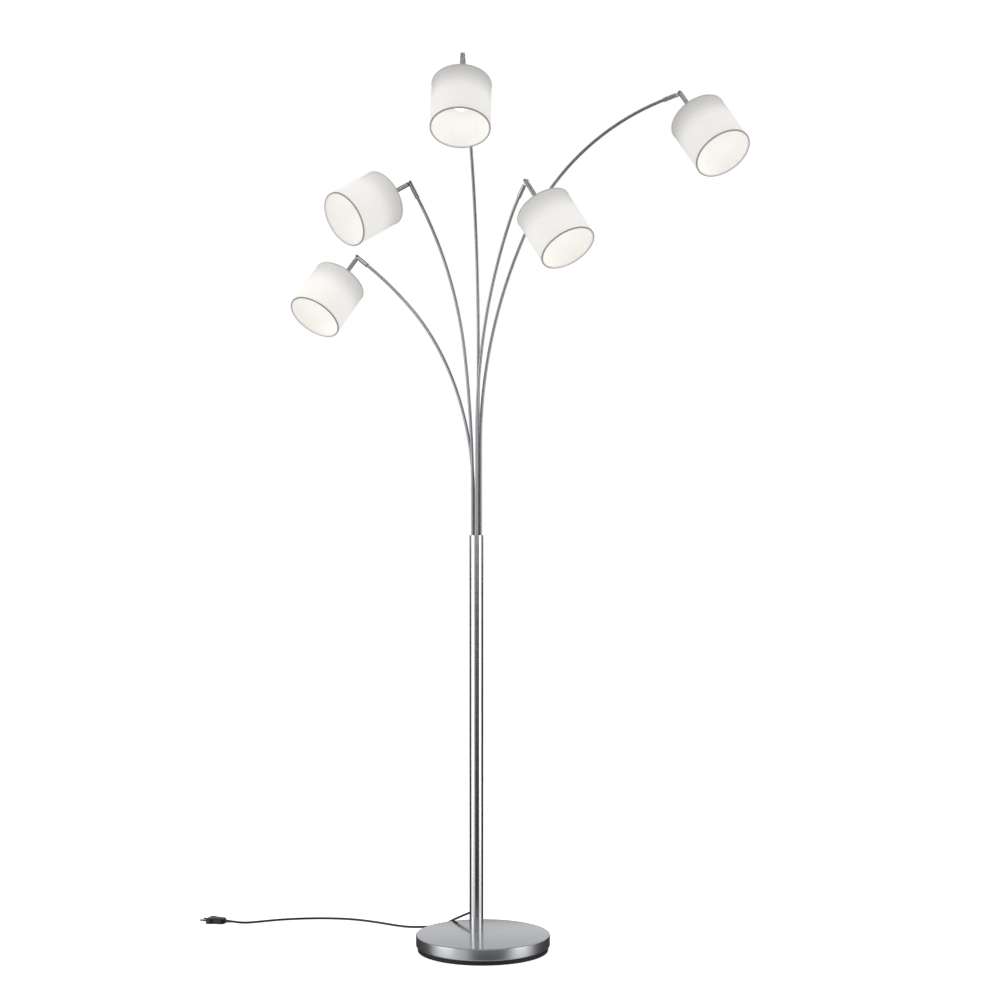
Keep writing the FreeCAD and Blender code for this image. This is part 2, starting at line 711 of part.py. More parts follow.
def arc_from(start, way, end, backwards=False):
    """Arc that leaves one point in a given direction and ends at another."""
    chord = end - start
    aside = way - chord * (way.dot(chord) / chord.dot(chord))
    bow = math.tan(way.getAngle(chord) / 2) * chord.Length / 2
    middle = start + chord * 0.5 + aside.normalize() * bow
    ends = (end, start) if backwards else (start, end)
    return Part.Arc(ends[0], middle, ends[1]).toShape()


def cord_coil():
    """The wound length: a straight stub, the turns on biarcs, a straight stub."""
    start, end = coil_ends()
    stops = int(round(COIL_TURNS * 4))
    edges = [Part.makeLine(start, coil_point(0.0))]
    for quarter in range(stops):
        low = quarter / 4.0
        high = (quarter + 1) / 4.0
        edges += biarc(coil_point(low), coil_heading(low), coil_point(high), coil_heading(high))
    edges.append(Part.makeLine(coil_point(COIL_TURNS), end))
    wire = Part.Wire(edges)
    samples = wire.discretize(Distance=2.0)
    step = wire.Length / (len(samples) - 1)
    skip = int(0.4 * 2 * math.pi * (COIL_OUTER - COIL_PITCH * COIL_TURNS / 2) / step)
    least = min(
        (first - second).Length
        for index, first in enumerate(samples) for second in samples[index + skip:])
    print("coil: length %.0f, least gap to itself %.2f" % (wire.Length, least - CORD_DIAMETER))
    return swept(wire, CORD_DIAMETER / 2), wire.Length


def cord_grommet():
    """Strain relief: a neck through the post's wall between two flanges, then
    a taper."""
    wall_out = POST_RADIUS + FACE_GAP
    wall_in = math.sqrt((POST_RADIUS - POST_WALL) ** 2 - GROMMET_FLANGE_RADIUS ** 2) - FACE_GAP
    body = turned([
        (0, wall_in - GROMMET_FLANGE),
        (GROMMET_FLANGE_RADIUS, wall_in - GROMMET_FLANGE),
        (GROMMET_FLANGE_RADIUS, wall_in),
        (GROMMET_NECK, wall_in),
        (GROMMET_NECK, wall_out),
        (GROMMET_FLANGE_RADIUS, wall_out),
        (GROMMET_FLANGE_RADIUS, wall_out + GROMMET_FLANGE),
        (GROMMET_NECK, wall_out + GROMMET_FLANGE),
        (GROMMET_TIP_RADIUS, POST_RADIUS + GROMMET_LENGTH),
        (0, POST_RADIUS + GROMMET_LENGTH),
    ])
    axis = compass(CORD_EXIT_AZIMUTH)
    return placed(body, local_frame(Vector(POST_X, POST_Y, CORD_EXIT_HEIGHT), Vector(0, 0, 1), axis))


# ==================================================================== switch
def rounded_block(length, width, corner, low, high):
    """Upright block with rounded corners, centred on the origin."""
    box = Part.makeBox(length, width, high - low, Vector(-length / 2, -width / 2, low))
    upright = [edge for edge in box.Edges if abs(edge.tangentAt(edge.FirstParameter).z) > 0.9]
    return box.makeFillet(corner, upright)


def switch_housing():
    """Two shells; the lower one carries the contact block."""
    inner_length = SWITCH_LENGTH - 2 * SWITCH_WALL
    inner_width = SWITCH_WIDTH - 2 * SWITCH_WALL
    inner_corner = SWITCH_CORNER - SWITCH_WALL
    shells = []
    for low, high in ((0.0, SWITCH_SPLIT), (SWITCH_SPLIT, SWITCH_HEIGHT)):
        shell = rounded_block(SWITCH_LENGTH, SWITCH_WIDTH, SWITCH_CORNER, low, high)
        edge_height = 0.0 if low == 0.0 else SWITCH_HEIGHT
        rim = [edge for edge in shell.Edges if abs(edge.CenterOfMass.z - edge_height) < 0.01]
        shell = shell.makeChamfer(SWITCH_EDGE, rim)
        hollow_low = low + SWITCH_WALL if low == 0.0 else low - 1.0
        hollow_high = high + 1.0 if low == 0.0 else high - SWITCH_WALL
        shells.append(shell.cut(rounded_block(inner_length, inner_width, inner_corner, hollow_low, hollow_high)))
    block_high = SWITCH_HEIGHT - SWITCH_WALL - BUTTON_LIP_HEIGHT - 2 * BUTTON_TRAVEL
    corner = Vector(-BLOCK_LENGTH / 2, -BLOCK_WIDTH / 2, SWITCH_WALL / 2)
    shells[0] = shells[0].fuse(Part.makeBox(BLOCK_LENGTH, BLOCK_WIDTH, block_high - SWITCH_WALL / 2, corner))
    opening = Part.makeCylinder(BUTTON_RADIUS + SEAT_GAP, SWITCH_HEIGHT, Vector(0, 0, SWITCH_SPLIT))
    shells[1] = shells[1].cut(opening)
    for shell in shells:
        shell.translate(Vector(*SWITCH_CENTRE, 0))
    return shells


def switch_button():
    """Round push button held by a lip under the upper shell."""
    lip_top = SWITCH_HEIGHT - SWITCH_WALL - FACE_GAP
    lip_low = lip_top - BUTTON_LIP_HEIGHT
    crown = SWITCH_HEIGHT + BUTTON_RISE
    edge = SWITCH_EDGE
    stem_low = SWITCH_HEIGHT - SWITCH_WALL - BUTTON_LIP_HEIGHT - BUTTON_TRAVEL + SEAT_GAP
    button = turned([
        (0, stem_low),
        (BUTTON_STEM_RADIUS, stem_low),
        (BUTTON_STEM_RADIUS, lip_low),
        (BUTTON_RADIUS + BUTTON_LIP, lip_low),
        (BUTTON_RADIUS + BUTTON_LIP, lip_top),
        (BUTTON_RADIUS, lip_top),
        (BUTTON_RADIUS, crown - edge),
        (BUTTON_RADIUS - edge, crown, on_circle(BUTTON_RADIUS - edge, crown - edge, edge, 45)),
        (0, crown),
    ])
    button.translate(Vector(*SWITCH_CENTRE, 0))
    return button


# ====================================================================== plug
def plug(rear):
    """Flat two-pin plug lying on the floor, with its strain relief. The pins
    are moulded in. Its own frame runs along +Z from the relief's tip."""
    half = PLUG_THICKNESS / 2
    start = PLUG_RELIEF
    outline = [Vector(-half, side, start + along) for along, side in PLUG_OUTLINE]
    outline += [Vector(-half, -side, start + along) for along, side in reversed(PLUG_OUTLINE)]
    body = Part.Face(Part.makePolygon(outline + outline[:1])).extrude(Vector(PLUG_THICKNESS, 0, 0))
    long_edges = [edge for edge in body.Edges if abs(abs(edge.CenterOfMass.x) - half) < 0.01]
    face = start + PLUG_OUTLINE[-1][0]
    long_edges = [edge for edge in long_edges if edge.CenterOfMass.z < face - 0.01]
    body = body.makeChamfer(PLUG_EDGE, long_edges)
    relief = Part.makeCone(PLUG_RELIEF_TIP, PLUG_RELIEF_RADIUS, start + 1.0)
    pins = []
    for side in (-1, 1):
        low = Vector(0, side * PIN_SPACING / 2, face - PIN_IN_PLUG)
        pins.append(Part.makeCylinder(PIN_RADIUS, PIN_IN_PLUG + PIN_LENGTH, low))
    body = body.multiFuse([relief] + pins).removeSplitter()
    return placed(body, local_frame(rear, Vector(0, 0, 1), Vector(*PLUG_AXIS, 0)))


# ===================================================================== build
def build_base_and_post():
    save("base_cover", base_cover())
    save("base_weight", base_weight())
    save("base_foot", base_foot())
    save("post_tube", post_tube())
    save("post_fixing", *post_fixing())
    save("arm_collar", collar())
    save("collar_screw", collar_screw())


def build_heads():
    for number, head in enumerate(HEADS, start=1):
        pivot, heading, aim, axis = head_axes(head)
        on_arm = local_frame(pivot, axis, heading * -1)
        on_shade = local_frame(pivot, axis, aim)
        save("arm_tube_%d" % number, arm_tube(head))
        save("knuckle_sleeve_%d" % number, placed(knuckle_sleeve(), on_arm))
        save("pivot_screw_%d" % number, *[placed(piece, on_arm) for piece in pivot_screw()])
        save("knuckle_stem_%d" % number, placed(knuckle_stem(), on_shade))
        save("lampholder_%d" % number, placed(lampholder(), on_shade))
        save("shade_ring_%d" % number, placed(shade_ring(), on_shade))
        save("shade_frame_%d" % number, *[placed(piece, on_shade) for piece in shade_frame()])
        save("shade_drum_%d" % number, placed(shade_drum(), on_shade))
        save("bulb_%d" % number, placed(bulb(), on_shade))


def build_cord():
    save("cord_grommet", cord_grommet())
    drop, lead, run = cord_points()
    total = 0.0
    for name, points in (("cord_drop", drop), ("cord_lead", lead), ("cord_run", run)):
        tube, length, smallest = tube_along(points)
        share = tube.Volume / (math.pi * (CORD_DIAMETER / 2) ** 2 * length)
        print("%s: length %.0f, smallest radius %.1f, volume share %.4f" % (name, length, smallest, share))
        total += length
        save(name, tube)
    coil, length = cord_coil()
    save("cord_coil", coil)
    total += length + SWITCH_LENGTH
    print("cord from the post to the plug: %.0f" % total)
    save("switch_housing", *switch_housing())
    save("switch_button", switch_button())
    save("plug", plug(run[-1]))


build_base_and_post()
build_heads()
build_cord()
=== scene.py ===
"""Looks of the tree floor lamp: brushed metal, lit fabric drums, black cord.

Lengths in the tables are millimetres, as on a workshop drawing, and are turned
to metres where a mesh is made.
"""

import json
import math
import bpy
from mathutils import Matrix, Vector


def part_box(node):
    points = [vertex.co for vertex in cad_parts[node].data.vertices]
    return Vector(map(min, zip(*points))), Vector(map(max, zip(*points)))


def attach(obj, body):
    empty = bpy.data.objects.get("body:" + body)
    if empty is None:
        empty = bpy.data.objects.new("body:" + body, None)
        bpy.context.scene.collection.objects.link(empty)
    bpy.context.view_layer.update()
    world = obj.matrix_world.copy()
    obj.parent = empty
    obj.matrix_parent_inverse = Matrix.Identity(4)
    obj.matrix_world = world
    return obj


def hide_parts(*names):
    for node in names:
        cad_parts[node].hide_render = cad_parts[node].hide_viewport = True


bl_info = {
    "name": "Tree floor lamp",
    "version": (1, 0, 0),
    "blender": (4, 5, 0),
    "location": "View3D > Sidebar > Tree lamp",
    "description": "Dresses the packed tree floor lamp and sets it on a pale stage",
    "category": "Object",
}

import bmesh
import bpy
from mathutils import Matrix, Vector

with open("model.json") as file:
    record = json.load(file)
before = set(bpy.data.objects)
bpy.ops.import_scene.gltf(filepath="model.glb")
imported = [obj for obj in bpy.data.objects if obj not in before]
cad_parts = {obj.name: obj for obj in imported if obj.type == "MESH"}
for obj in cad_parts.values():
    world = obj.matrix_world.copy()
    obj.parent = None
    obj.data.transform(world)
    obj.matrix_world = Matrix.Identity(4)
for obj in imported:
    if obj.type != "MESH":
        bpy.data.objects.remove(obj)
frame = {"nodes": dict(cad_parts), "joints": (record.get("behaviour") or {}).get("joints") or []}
NODES = frame["nodes"]
JOINTS = {joint["name"]: joint for joint in frame["joints"]}
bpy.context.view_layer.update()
HEADS = (1, 2, 3, 4, 5)

# Base, turned about Z. Its radius and its two heights come from the frame.
BASE_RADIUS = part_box("base_cover")[1][0] * 1000
BASE_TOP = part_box("base_cover")[1][2] * 1000
BASE_SKIRT_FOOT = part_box("base_cover")[0][2] * 1000
BASE_TOP_EDGE = 2.5     # radius of the rounded edge of the top
BASE_CURL = 3.5         # radius of the curl at the foot of the side
BASE_SHEET = 1.2
BASE_STEPS = 192        # faces round the base

# Shades, measured from the knuckle's pivot
SHADE_TOP = 86.0
SHADE_RIM = 208.0
SHADE_RADIUS = 65.0
SHADE_SKIN = 1.0
SHADE_ROWS = 24         # rows of faces up the cloth
SHADE_STEPS = 128       # faces round the cloth and the hems
HEM_HEIGHT = 3.0
HEM_INSIDE = 62.6       # a hem's radius inside, clear of the wire ring
HEM_PROUD = 0.5
HEM_PAST_EDGE = 0.4     # a hem's reach beyond the edge of the cloth
SEAM_WIDTH = 9.0
SEAM_THICKNESS = 0.35
SEAM_SUNK = 0.1         # the seam's foot inside the cloth
SEAM_PAST_HEM = 1.0     # the seam's ends below the hems

# Painted glow of the cloth, standing in for the bulb's light through it: it climbs over the first
# part of the drum's height, so the top end stays darker as painted shade, falls a little near the
# rim, and inside it is nearly even
GLOW_CLIMB = 0.55
GLOW_FALL_FROM = 0.75
GLOW_FALL = 0.1
GLOW_INSIDE = 1.0
GLOW_INSIDE_CLIMB = 0.2

# Brush lines as drawn, in lines for a metre along each axis: long across a
# tube and close along it
POST_LINES = (12.0, 12.0, 450.0)
ARM_LINES = (60.0, 60.0, 200.0)

# Camera: level, in front of the lamp at half its height, place in metres
CAMERA_PLACE = (0.03865, -4.301, 1.02115)
CAMERA_LENS = 68.22
CAMERA_SENSOR = 36.0

# Soft boxes: name, azimuth, distance, height of the middle, the box's own
# width and height, all in metres, and power in watts
LAMPS = (
    ("left soft box", -66, 4.4, 1.5, 2.6, 4.2, 78),
    ("right soft box", 67, 4.4, 1.5, 2.0, 4.2, 60),
    ("top soft box", 0, 0.4, 4.4, 3.0, 3.0, 34),
)
LAMP_AIM = (0, 0, 1.0)
PAPER_SIZE = 20.0       # half the side of the floor, in metres
PAPER_LIFT = 0.6        # light that the paper adds, so that it shows white

# Dark cards that only the metal mirrors. Each stands in the direction of an
# azimuth and an angle above the level, so far from a point at some height
# above the base, has a width and a height, all in metres, and a colour. The
# upright ones end below 1 m, so that the level top of the base mirrors the
# white room above them from every side.
CARDS = (
    ("camera side", 11, 0, 5.0, -0.015, 6.75, 1.93, "#565656"),
    ("camera side foot", 11, 0, 5.0, -3.99, 6.75, 6.02, "#262627"),
    ("left", -130, 0, 5.0, -3.025, 7.0, 7.95, "#3E3E3E"),
    ("right", 130, 0, 5.0, -3.025, 7.0, 7.95, "#242425"),
    ("upper front", 0, 48, 2.6, 1.7, 7.0, 2.0, "#2E2E2E"),
    ("upper back", 180, 54, 2.6, 1.7, 6.0, 2.2, "#2E2E2E"),
    ("lower back", 180, -54, 2.6, 1.7, 6.0, 2.2, "#2E2E2E"),
)

# Painted light through the cloth at the top end of each head's drum and at its brightest, as a
# share of the glow setting. The shares differ from head to head as painted light: the larger ones
# stand in for the soft boxes lighting those drums more.
GLOW = {
    1: (0.0, 1.0), 2: (0.08, 1.0), 3: (0.25, 1.08), 4: (0.35, 1.12), 5: (0.45, 1.28),
}

# Cord: given points of the free stretches, and the coil's sizes
CORD_DIAMETER = 5.2
DROP = (
    (-25.02, 98.37, 62.0), (-28.12, 109.96, 62.0), (-35.5, 123.0, 56.5), (-54.5, 131.8, 46.5),
    (-76.0, 140.2, 35.2), (-94.0, 149.0, 23.0), (-102.0, 162.0, 13.6), (-99.5, 176.0, 7.5),
    (-89.0, 185.3, 4.2), (-74.5, 186.8, 3.0), (-59.5, 180.0, 4.2), (-47.0, 180.0, 4.2),
)
LEAD = ((15.0, 180.0, 4.2), (26.0, 180.0, 4.2), (36.0, 180.0, 8.45), (46.8, 180.0, 8.45))
RUN = (
    (46.8, 252.0, 2.7), (31.0, 252.0, 2.7), (8.0, 254.5, 2.7), (-20.0, 254.0, 2.7),
    (-52.0, 248.5, 2.7), (-88.0, 238.0, 2.7), (-122.0, 225.0, 2.7), (-155.0, 218.5, 2.7),
    (-186.0, 222.0, 2.7), (-215.0, 239.5, 2.7), (-262.0, 274.0, 2.7), (-318.0, 304.0, 2.7),
    (-379.0, 315.0, 2.7), (-439.0, 312.0, 2.7), (-496.0, 299.0, 2.7), (-536.0, 280.0, 2.7),
    (-569.0, 264.5, 2.9), (-589.0, 258.6, 4.8), (-600.0, 257.4, 6.9), (-610.93, 260.99, 6.9),
)
COIL_CENTRE = (52.0, 216.0)
COIL_OUTER = 36.0       # radius of the outer turns' centreline
COIL_PITCH = 5.75
COIL_TURNS = 4.5
COIL_LOW = 2.7
COIL_LAYER = 5.75       # height between the two layers
COIL_CROSSING = 0.5     # turns over which the cord drops to the lower layer
COIL_STEPS = 16         # points of the spline in each turn


# ============================================================== small helpers
def colour(code):
    """sRGB hex value as linear red, green, blue and alpha."""
    parts = [int(code[place:place + 2], 16) / 255 for place in (1, 3, 5)]
    linear = [
        part / 12.92 if part <= 0.04045 else ((part + 0.055) / 1.055) ** 2.4 for part in parts]
    return linear + [1.0]


def add(tree, kind, inputs=None, **settings):
    """Add a node with its settings; inputs hold a value or a socket to link."""
    node = tree.nodes.new(kind)
    for name, value in settings.items():
        setattr(node, name, value)
    for name, value in (inputs or {}).items():
        if isinstance(value, bpy.types.NodeSocket):
            tree.links.new(value, node.inputs[name])
        else:
            node.inputs[name].default_value = value
    return node


def new_material(name):
    """Empty node material and its output."""
    material = bpy.data.materials.new(name)
    material.use_nodes = True
    material.node_tree.nodes.clear()
    return material, material.node_tree, add(material.node_tree, "ShaderNodeOutputMaterial")


def surface(tree, output, inputs):
    """Principled shader on a material's output."""
    shader = add(tree, "ShaderNodeBsdfPrincipled", inputs)
    tree.links.new(shader.outputs["BSDF"], output.inputs["Surface"])


def math_node(tree, kind, first, second):
    """Output of a two-value math node."""
    return add(tree, "ShaderNodeMath", {0: first, 1: second}, operation=kind).outputs["Value"]


def varied(tree, tint, share):
    """A colour times a changing share of itself."""
    mix = add(tree, "ShaderNodeMix", {
        "Factor": 1.0, 6: tint, 7: (1, 1, 1, 1)},
        data_type="RGBA", blend_type="MULTIPLY")
    tree.links.new(share, mix.inputs[7])
    return mix.outputs[2]


def seen_rays(tree):
    """One for a ray of the camera: straight, mirrored or through glass."""
    rays = add(tree, "ShaderNodeLightPath")
    seen = math_node(tree, "MAXIMUM", rays.outputs["Is Camera Ray"], rays.outputs["Is Glossy Ray"])
    return math_node(tree, "MAXIMUM", seen, rays.outputs["Is Transmission Ray"])


def numbered(kind):
    """Names of one kind of piece on all heads."""
    return ["%s_%d" % (kind, number) for number in HEADS]


def point(values):
    """Millimetres to metres."""
    return Vector(values) * 0.001


def compass(azimuth):
    """Level direction of an azimuth, counted from the viewer round to +X."""
    turn = math.radians(azimuth)
    return Vector((math.sin(turn), -math.cos(turn), 0.0))


def spin_profile(bm, profile, steps, closed=True):
    """Turn a profile of (radius, height) in millimetres about Z."""
    verts = [bm.verts.new(point((radius, 0.0, height))) for radius, height in profile]
    pairs = list(zip(verts, verts[1:])) + ([(verts[-1], verts[0])] if closed else [])
    edges = [bm.edges.new(pair) for pair in pairs]
    bmesh.ops.spin(
        bm, geom=verts + edges, cent=(0, 0, 0), axis=(0, 0, 1), dvec=(0, 0, 0),
        angle=math.tau, steps=steps, use_merge=True, use_duplicate=False)
    bmesh.ops.remove_doubles(bm, verts=bm.verts, dist=1e-6)
    bmesh.ops.recalc_face_normals(bm, faces=bm.faces)


def object_from(name, bm, material):
    """Object from a bmesh, in the scene."""
    mesh = bpy.data.meshes.new(name)
    bm.to_mesh(mesh)
    bm.free()
    mesh.materials.append(material)
    made = bpy.data.objects.new(name, mesh)
    bpy.context.scene.collection.objects.link(made)
    return made


def make_piece(name, bm, body, material, sharp, place=None):
    """Smooth piece with its place in its mesh, riding on a body; edges
    sharper than an angle in degrees stay crisp."""
    if place is not None:
        bmesh.ops.transform(bm, matrix=place, verts=bm.verts)
    piece = object_from(name, bm, material)
    piece.data.shade_smooth()
    piece.data.set_sharp_from_angle(angle=math.radians(sharp))
    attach(piece, body)
    return piece


def dress(names, material):
    """Give CAD nodes a finished material."""
    for name in names:
        mesh = NODES[name].data
        mesh.materials.clear()
        mesh.materials.append(material)


def arc(centre_x, centre_z, radius, start, end, steps):
    """Points of an arc in a profile, both ends included."""
    turns = [math.radians(start + (end - start) * step / steps) for step in range(steps + 1)]
    return [
        (centre_x + radius * math.cos(turn), centre_z + radius * math.sin(turn))
        for turn in turns]


def head_place(number):
    """Matrix that brings a piece made about its pivot, with the shade along
    +Z, to its head."""
    joint = JOINTS["tilt_%d" % number]
    pivot = Vector(joint["pos_m"])
    low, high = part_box("shade_drum_%d" % number)
    along = ((Vector(low) + Vector(high)) / 2 - pivot).normalized()
    across = Vector(joint["axis"])
    across = (across - along * across.dot(along)).normalized()
    matrix = Matrix((across, along.cross(across), along)).transposed().to_4x4()
    matrix.translation = pivot
    return matrix


# =================================================================== settings
class LampMetal(bpy.types.PropertyGroup):
    """Finish of the plated metalwork."""
    tint: bpy.props.FloatVectorProperty(
        name="Metal colour", description="Colour of the plated steel", subtype="COLOR",
        size=4, min=0.0, max=1.0, default=colour("#C6C7C9"))
    roughness: bpy.props.FloatProperty(
        name="Satin", description="Roughness of the brushed plating", subtype="FACTOR",
        min=0.1, max=1.0, default=0.2)


class LampShade(bpy.types.PropertyGroup):
    """Fabric of the drum shades and the light inside them."""
    cloth: bpy.props.FloatVectorProperty(
        name="Cloth colour", description="Colour of the woven cover", subtype="COLOR",
        size=4, min=0.0, max=1.0, default=colour("#C3C2C0"))
    glow: bpy.props.FloatProperty(
        name="Glow", description="Light that comes through the cloth at its brightest",
        min=0.0, max=2.0, default=0.36)
    thread: bpy.props.FloatProperty(
        name="Thread spacing", description="Spacing of the threads as drawn", unit="LENGTH",
        subtype="DISTANCE", min=0.0003, max=0.005, default=0.0011)


class LampCord(bpy.types.PropertyGroup):
    """Mains cord."""
    diameter: bpy.props.FloatProperty(
        name="Cord diameter", description="Outside diameter of the mains cord", unit="LENGTH",
        subtype="DISTANCE", min=0.003, max=0.008, default=CORD_DIAMETER / 1000)
    sheath: bpy.props.FloatVectorProperty(
        name="Sheath colour", description="Colour of the cord, the switch and the plug",
        subtype="COLOR", size=4, min=0.0, max=1.0, default=colour("#080808"))


class LampStage(bpy.types.PropertyGroup):
    """Floor, backdrop and lamps."""
    paper: bpy.props.FloatVectorProperty(
        name="Paper colour", description="Colour of the floor and the backdrop", subtype="COLOR",
        size=4, min=0.0, max=1.0, default=colour("#FFFFFF"))
    fill: bpy.props.FloatProperty(
        name="Fill light", description="Strength of the even light from all round",
        min=0.0, max=2.0, default=0.5)


# ================================================================== materials
def brushed_nickel(name, tint, scale, depth, coarser=0.0):
    """Satin nickel plate on steel tube that was brushed round and round: the
    lines cross the tube, so each reflection is drawn out along it. The value
    of coarser is added to the roughness."""
    settings = bpy.context.scene.lamp_metal
    material, tree, output = new_material(name)
    where = add(tree, "ShaderNodeTexCoord")
    # brush lines are about 0.1 mm apart; they are drawn at 2 mm or more
    stretch = add(tree, "ShaderNodeMapping", {"Vector": where.outputs["Object"], "Scale": scale})
    lines = add(tree, "ShaderNodeTexNoise", {
        "Vector": stretch.outputs["Vector"], "Scale": 1.0, "Detail": 2.0, "Roughness": 0.6})
    middle = settings.roughness + coarser
    satin = add(tree, "ShaderNodeMapRange", {
        "Value": lines.outputs["Fac"], "From Min": 0.3, "From Max": 0.7,
        "To Min": middle - 0.03, "To Max": middle + 0.03})
    bump = add(tree, "ShaderNodeBump", {
        "Height": lines.outputs["Fac"], "Strength": depth, "Distance": 0.0001})
    along = add(tree, "ShaderNodeCombineXYZ", {"Z": 1.0})
    surface(tree, output, {
        "Base Color": tint, "Metallic": 1.0, "Roughness": satin.outputs["Result"],
        "Anisotropic": 0.5, "Normal": bump.outputs["Normal"], "Tangent": along.outputs["Vector"]})
    return material


def spun_nickel():
    """Nickel plate on the spun base: brushed in circles about its middle, so a
    reflection is drawn out from the middle to the edge and down the side."""
    settings = bpy.context.scene.lamp_metal
    material, tree, output = new_material("spun nickel plate")
    where = add(tree, "ShaderNodeTexCoord")
    flat = add(tree, "ShaderNodeVectorMath", {
        0: where.outputs["Object"], 1: (1.0, 1.0, 0.0)}, operation="MULTIPLY")
    radius = add(tree, "ShaderNodeVectorMath", {0: flat.outputs["Vector"]}, operation="LENGTH")
    # brush lines are about 0.1 mm apart; they are drawn at about 1 mm
    rings = add(tree, "ShaderNodeTexNoise", {
        "W": radius.outputs["Value"], "Scale": 900.0, "Detail": 4.0, "Roughness": 0.7},
        noise_dimensions="1D")
    # the side wall is brushed more coarsely than the top
    level = add(tree, "ShaderNodeSeparateXYZ", {"Vector": where.outputs["Object"]})
    edge_foot, edge_head = (BASE_TOP - BASE_TOP_EDGE) / 1000, BASE_TOP / 1000
    side = add(tree, "ShaderNodeMapRange", {
        "Value": level.outputs["Z"], "From Min": edge_foot, "From Max": edge_head,
        "To Min": 0.24, "To Max": 0.0})
    # the level top's plate is painted a darker grey than the side: painted shade that tones down
    # the white room the top mirrors
    painted_top_shade = add(tree, "ShaderNodeMapRange", {
        "Value": level.outputs["Z"], "From Min": edge_foot, "From Max": edge_head})
    plate = add(tree, "ShaderNodeMix", {
        "Factor": painted_top_shade.outputs["Result"], 6: colour("#A9ABAF"), 7: colour("#8E9094")},
        data_type="RGBA")
    fine = add(tree, "ShaderNodeMapRange", {
        "Value": rings.outputs["Fac"], "From Min": 0.3, "From Max": 0.7,
        "To Min": settings.roughness - 0.08, "To Max": settings.roughness - 0.02})
    satin = math_node(tree, "ADD", fine.outputs["Result"], side.outputs["Result"])
    bump = add(tree, "ShaderNodeBump", {
        "Height": rings.outputs["Fac"], "Strength": 0.06, "Distance": 0.0001})
    tangent = add(tree, "ShaderNodeTangent", direction_type="RADIAL", axis="Z")
    surface(tree, output, {
        "Base Color": plate.outputs[2], "Metallic": 1.0, "Roughness": satin,
        "Anisotropic": 0.6, "Anisotropic Rotation": 0.25, "Normal": bump.outputs["Normal"],
        "Tangent": tangent.outputs["Tangent"]})
    return material


def turned_metal(name, tint, roughness):
    """Plate or steel of small turned parts: turning marks vary its
    roughness, too fine to show as a shape."""
    material, tree, output = new_material(name)
    where = add(tree, "ShaderNodeTexCoord")
    # turning marks are about 0.2 mm apart; they are drawn at about 2 mm
    marks = add(tree, "ShaderNodeTexNoise", {
        "Vector": where.outputs["Object"], "Scale": 500.0, "Detail": 2.0})
    satin = add(tree, "ShaderNodeMapRange", {
        "Value": marks.outputs["Fac"], "To Min": roughness - 0.04, "To Max": roughness + 0.04})
    surface(tree, output, {
        "Base Color": tint, "Metallic": 1.0, "Roughness": satin.outputs["Result"]})
    return material


def moulded_plastic(name, tint, roughness, grain):
    """Moulded plastic, rubber or coat: an even colour with a fine grain, its
    size in metres, that breaks up the highlights."""
    material, tree, output = new_material(name)
    where = add(tree, "ShaderNodeTexCoord")
    specks = add(tree, "ShaderNodeTexNoise", {
        "Vector": where.outputs["Object"], "Scale": 1.0 / grain, "Detail": 4.0})
    sheen = add(tree, "ShaderNodeMapRange", {
        "Value": specks.outputs["Fac"], "To Min": roughness - 0.06, "To Max": roughness + 0.08})
    bump = add(tree, "ShaderNodeBump", {
        "Height": specks.outputs["Fac"], "Strength": 0.15, "Distance": grain / 10})
    surface(tree, output, {
        "Base Color": tint, "Roughness": sheen.outputs["Result"], "IOR": 1.5,
        "Normal": bump.outputs["Normal"]})
    return material


def woven_cloth():
    """White linen-look polyester laminated on a clear film, lit from behind:
    its threads show as fine slubs, and the light comes through as the mesh's
    own glow attribute says."""
    settings = bpy.context.scene.lamp_shade
    material, tree, output = new_material("woven shade cloth")
    where = add(tree, "ShaderNodeUVMap", uv_map="cloth")
    # threads are about 0.4 mm apart; they are drawn at the spacing setting,
    # because the real ones are too fine to show. A wave texture of scale 1
    # repeats every tau / 20 metres.
    threads = [
        add(tree, "ShaderNodeTexWave", {
            "Vector": where.outputs["UV"], "Scale": math.tau / 20 / settings.thread,
            "Distortion": 1.5, "Detail": 2.0, "Detail Scale": 0.4},
            wave_type="BANDS", bands_direction=direction)
        for direction in ("X", "Y")]
    weave = math_node(tree, "ADD", threads[0].outputs["Fac"], threads[1].outputs["Fac"])
    stretch = add(tree, "ShaderNodeMapping", {
        "Vector": where.outputs["UV"], "Scale": (60.0, 900.0, 1.0)})
    slubs = add(tree, "ShaderNodeTexNoise", {
        "Vector": stretch.outputs["Vector"], "Scale": 1.0, "Detail": 3.0})
    shade = add(tree, "ShaderNodeMapRange", {
        "Value": slubs.outputs["Fac"], "From Min": 0.3, "From Max": 0.7,
        "To Min": 0.95, "To Max": 1.03})
    tint = varied(tree, settings.cloth, shade.outputs["Result"])
    height = math_node(tree, "ADD", weave, slubs.outputs["Fac"])
    bump = add(tree, "ShaderNodeBump", {"Height": height, "Strength": 0.25, "Distance": 0.0002})
    through = add(tree, "ShaderNodeAttribute", attribute_name="glow")
    lit = math_node(tree, "MULTIPLY", through.outputs["Fac"], shade.outputs["Result"])
    strength = math_node(tree, "MULTIPLY", lit, settings.glow)
    surface(tree, output, {
        "Base Color": tint, "Roughness": 0.9, "Sheen Weight": 0.1,
        "Emission Color": colour("#FFFBF5"), "Emission Strength": strength,
        "Normal": bump.outputs["Normal"]})
    return material


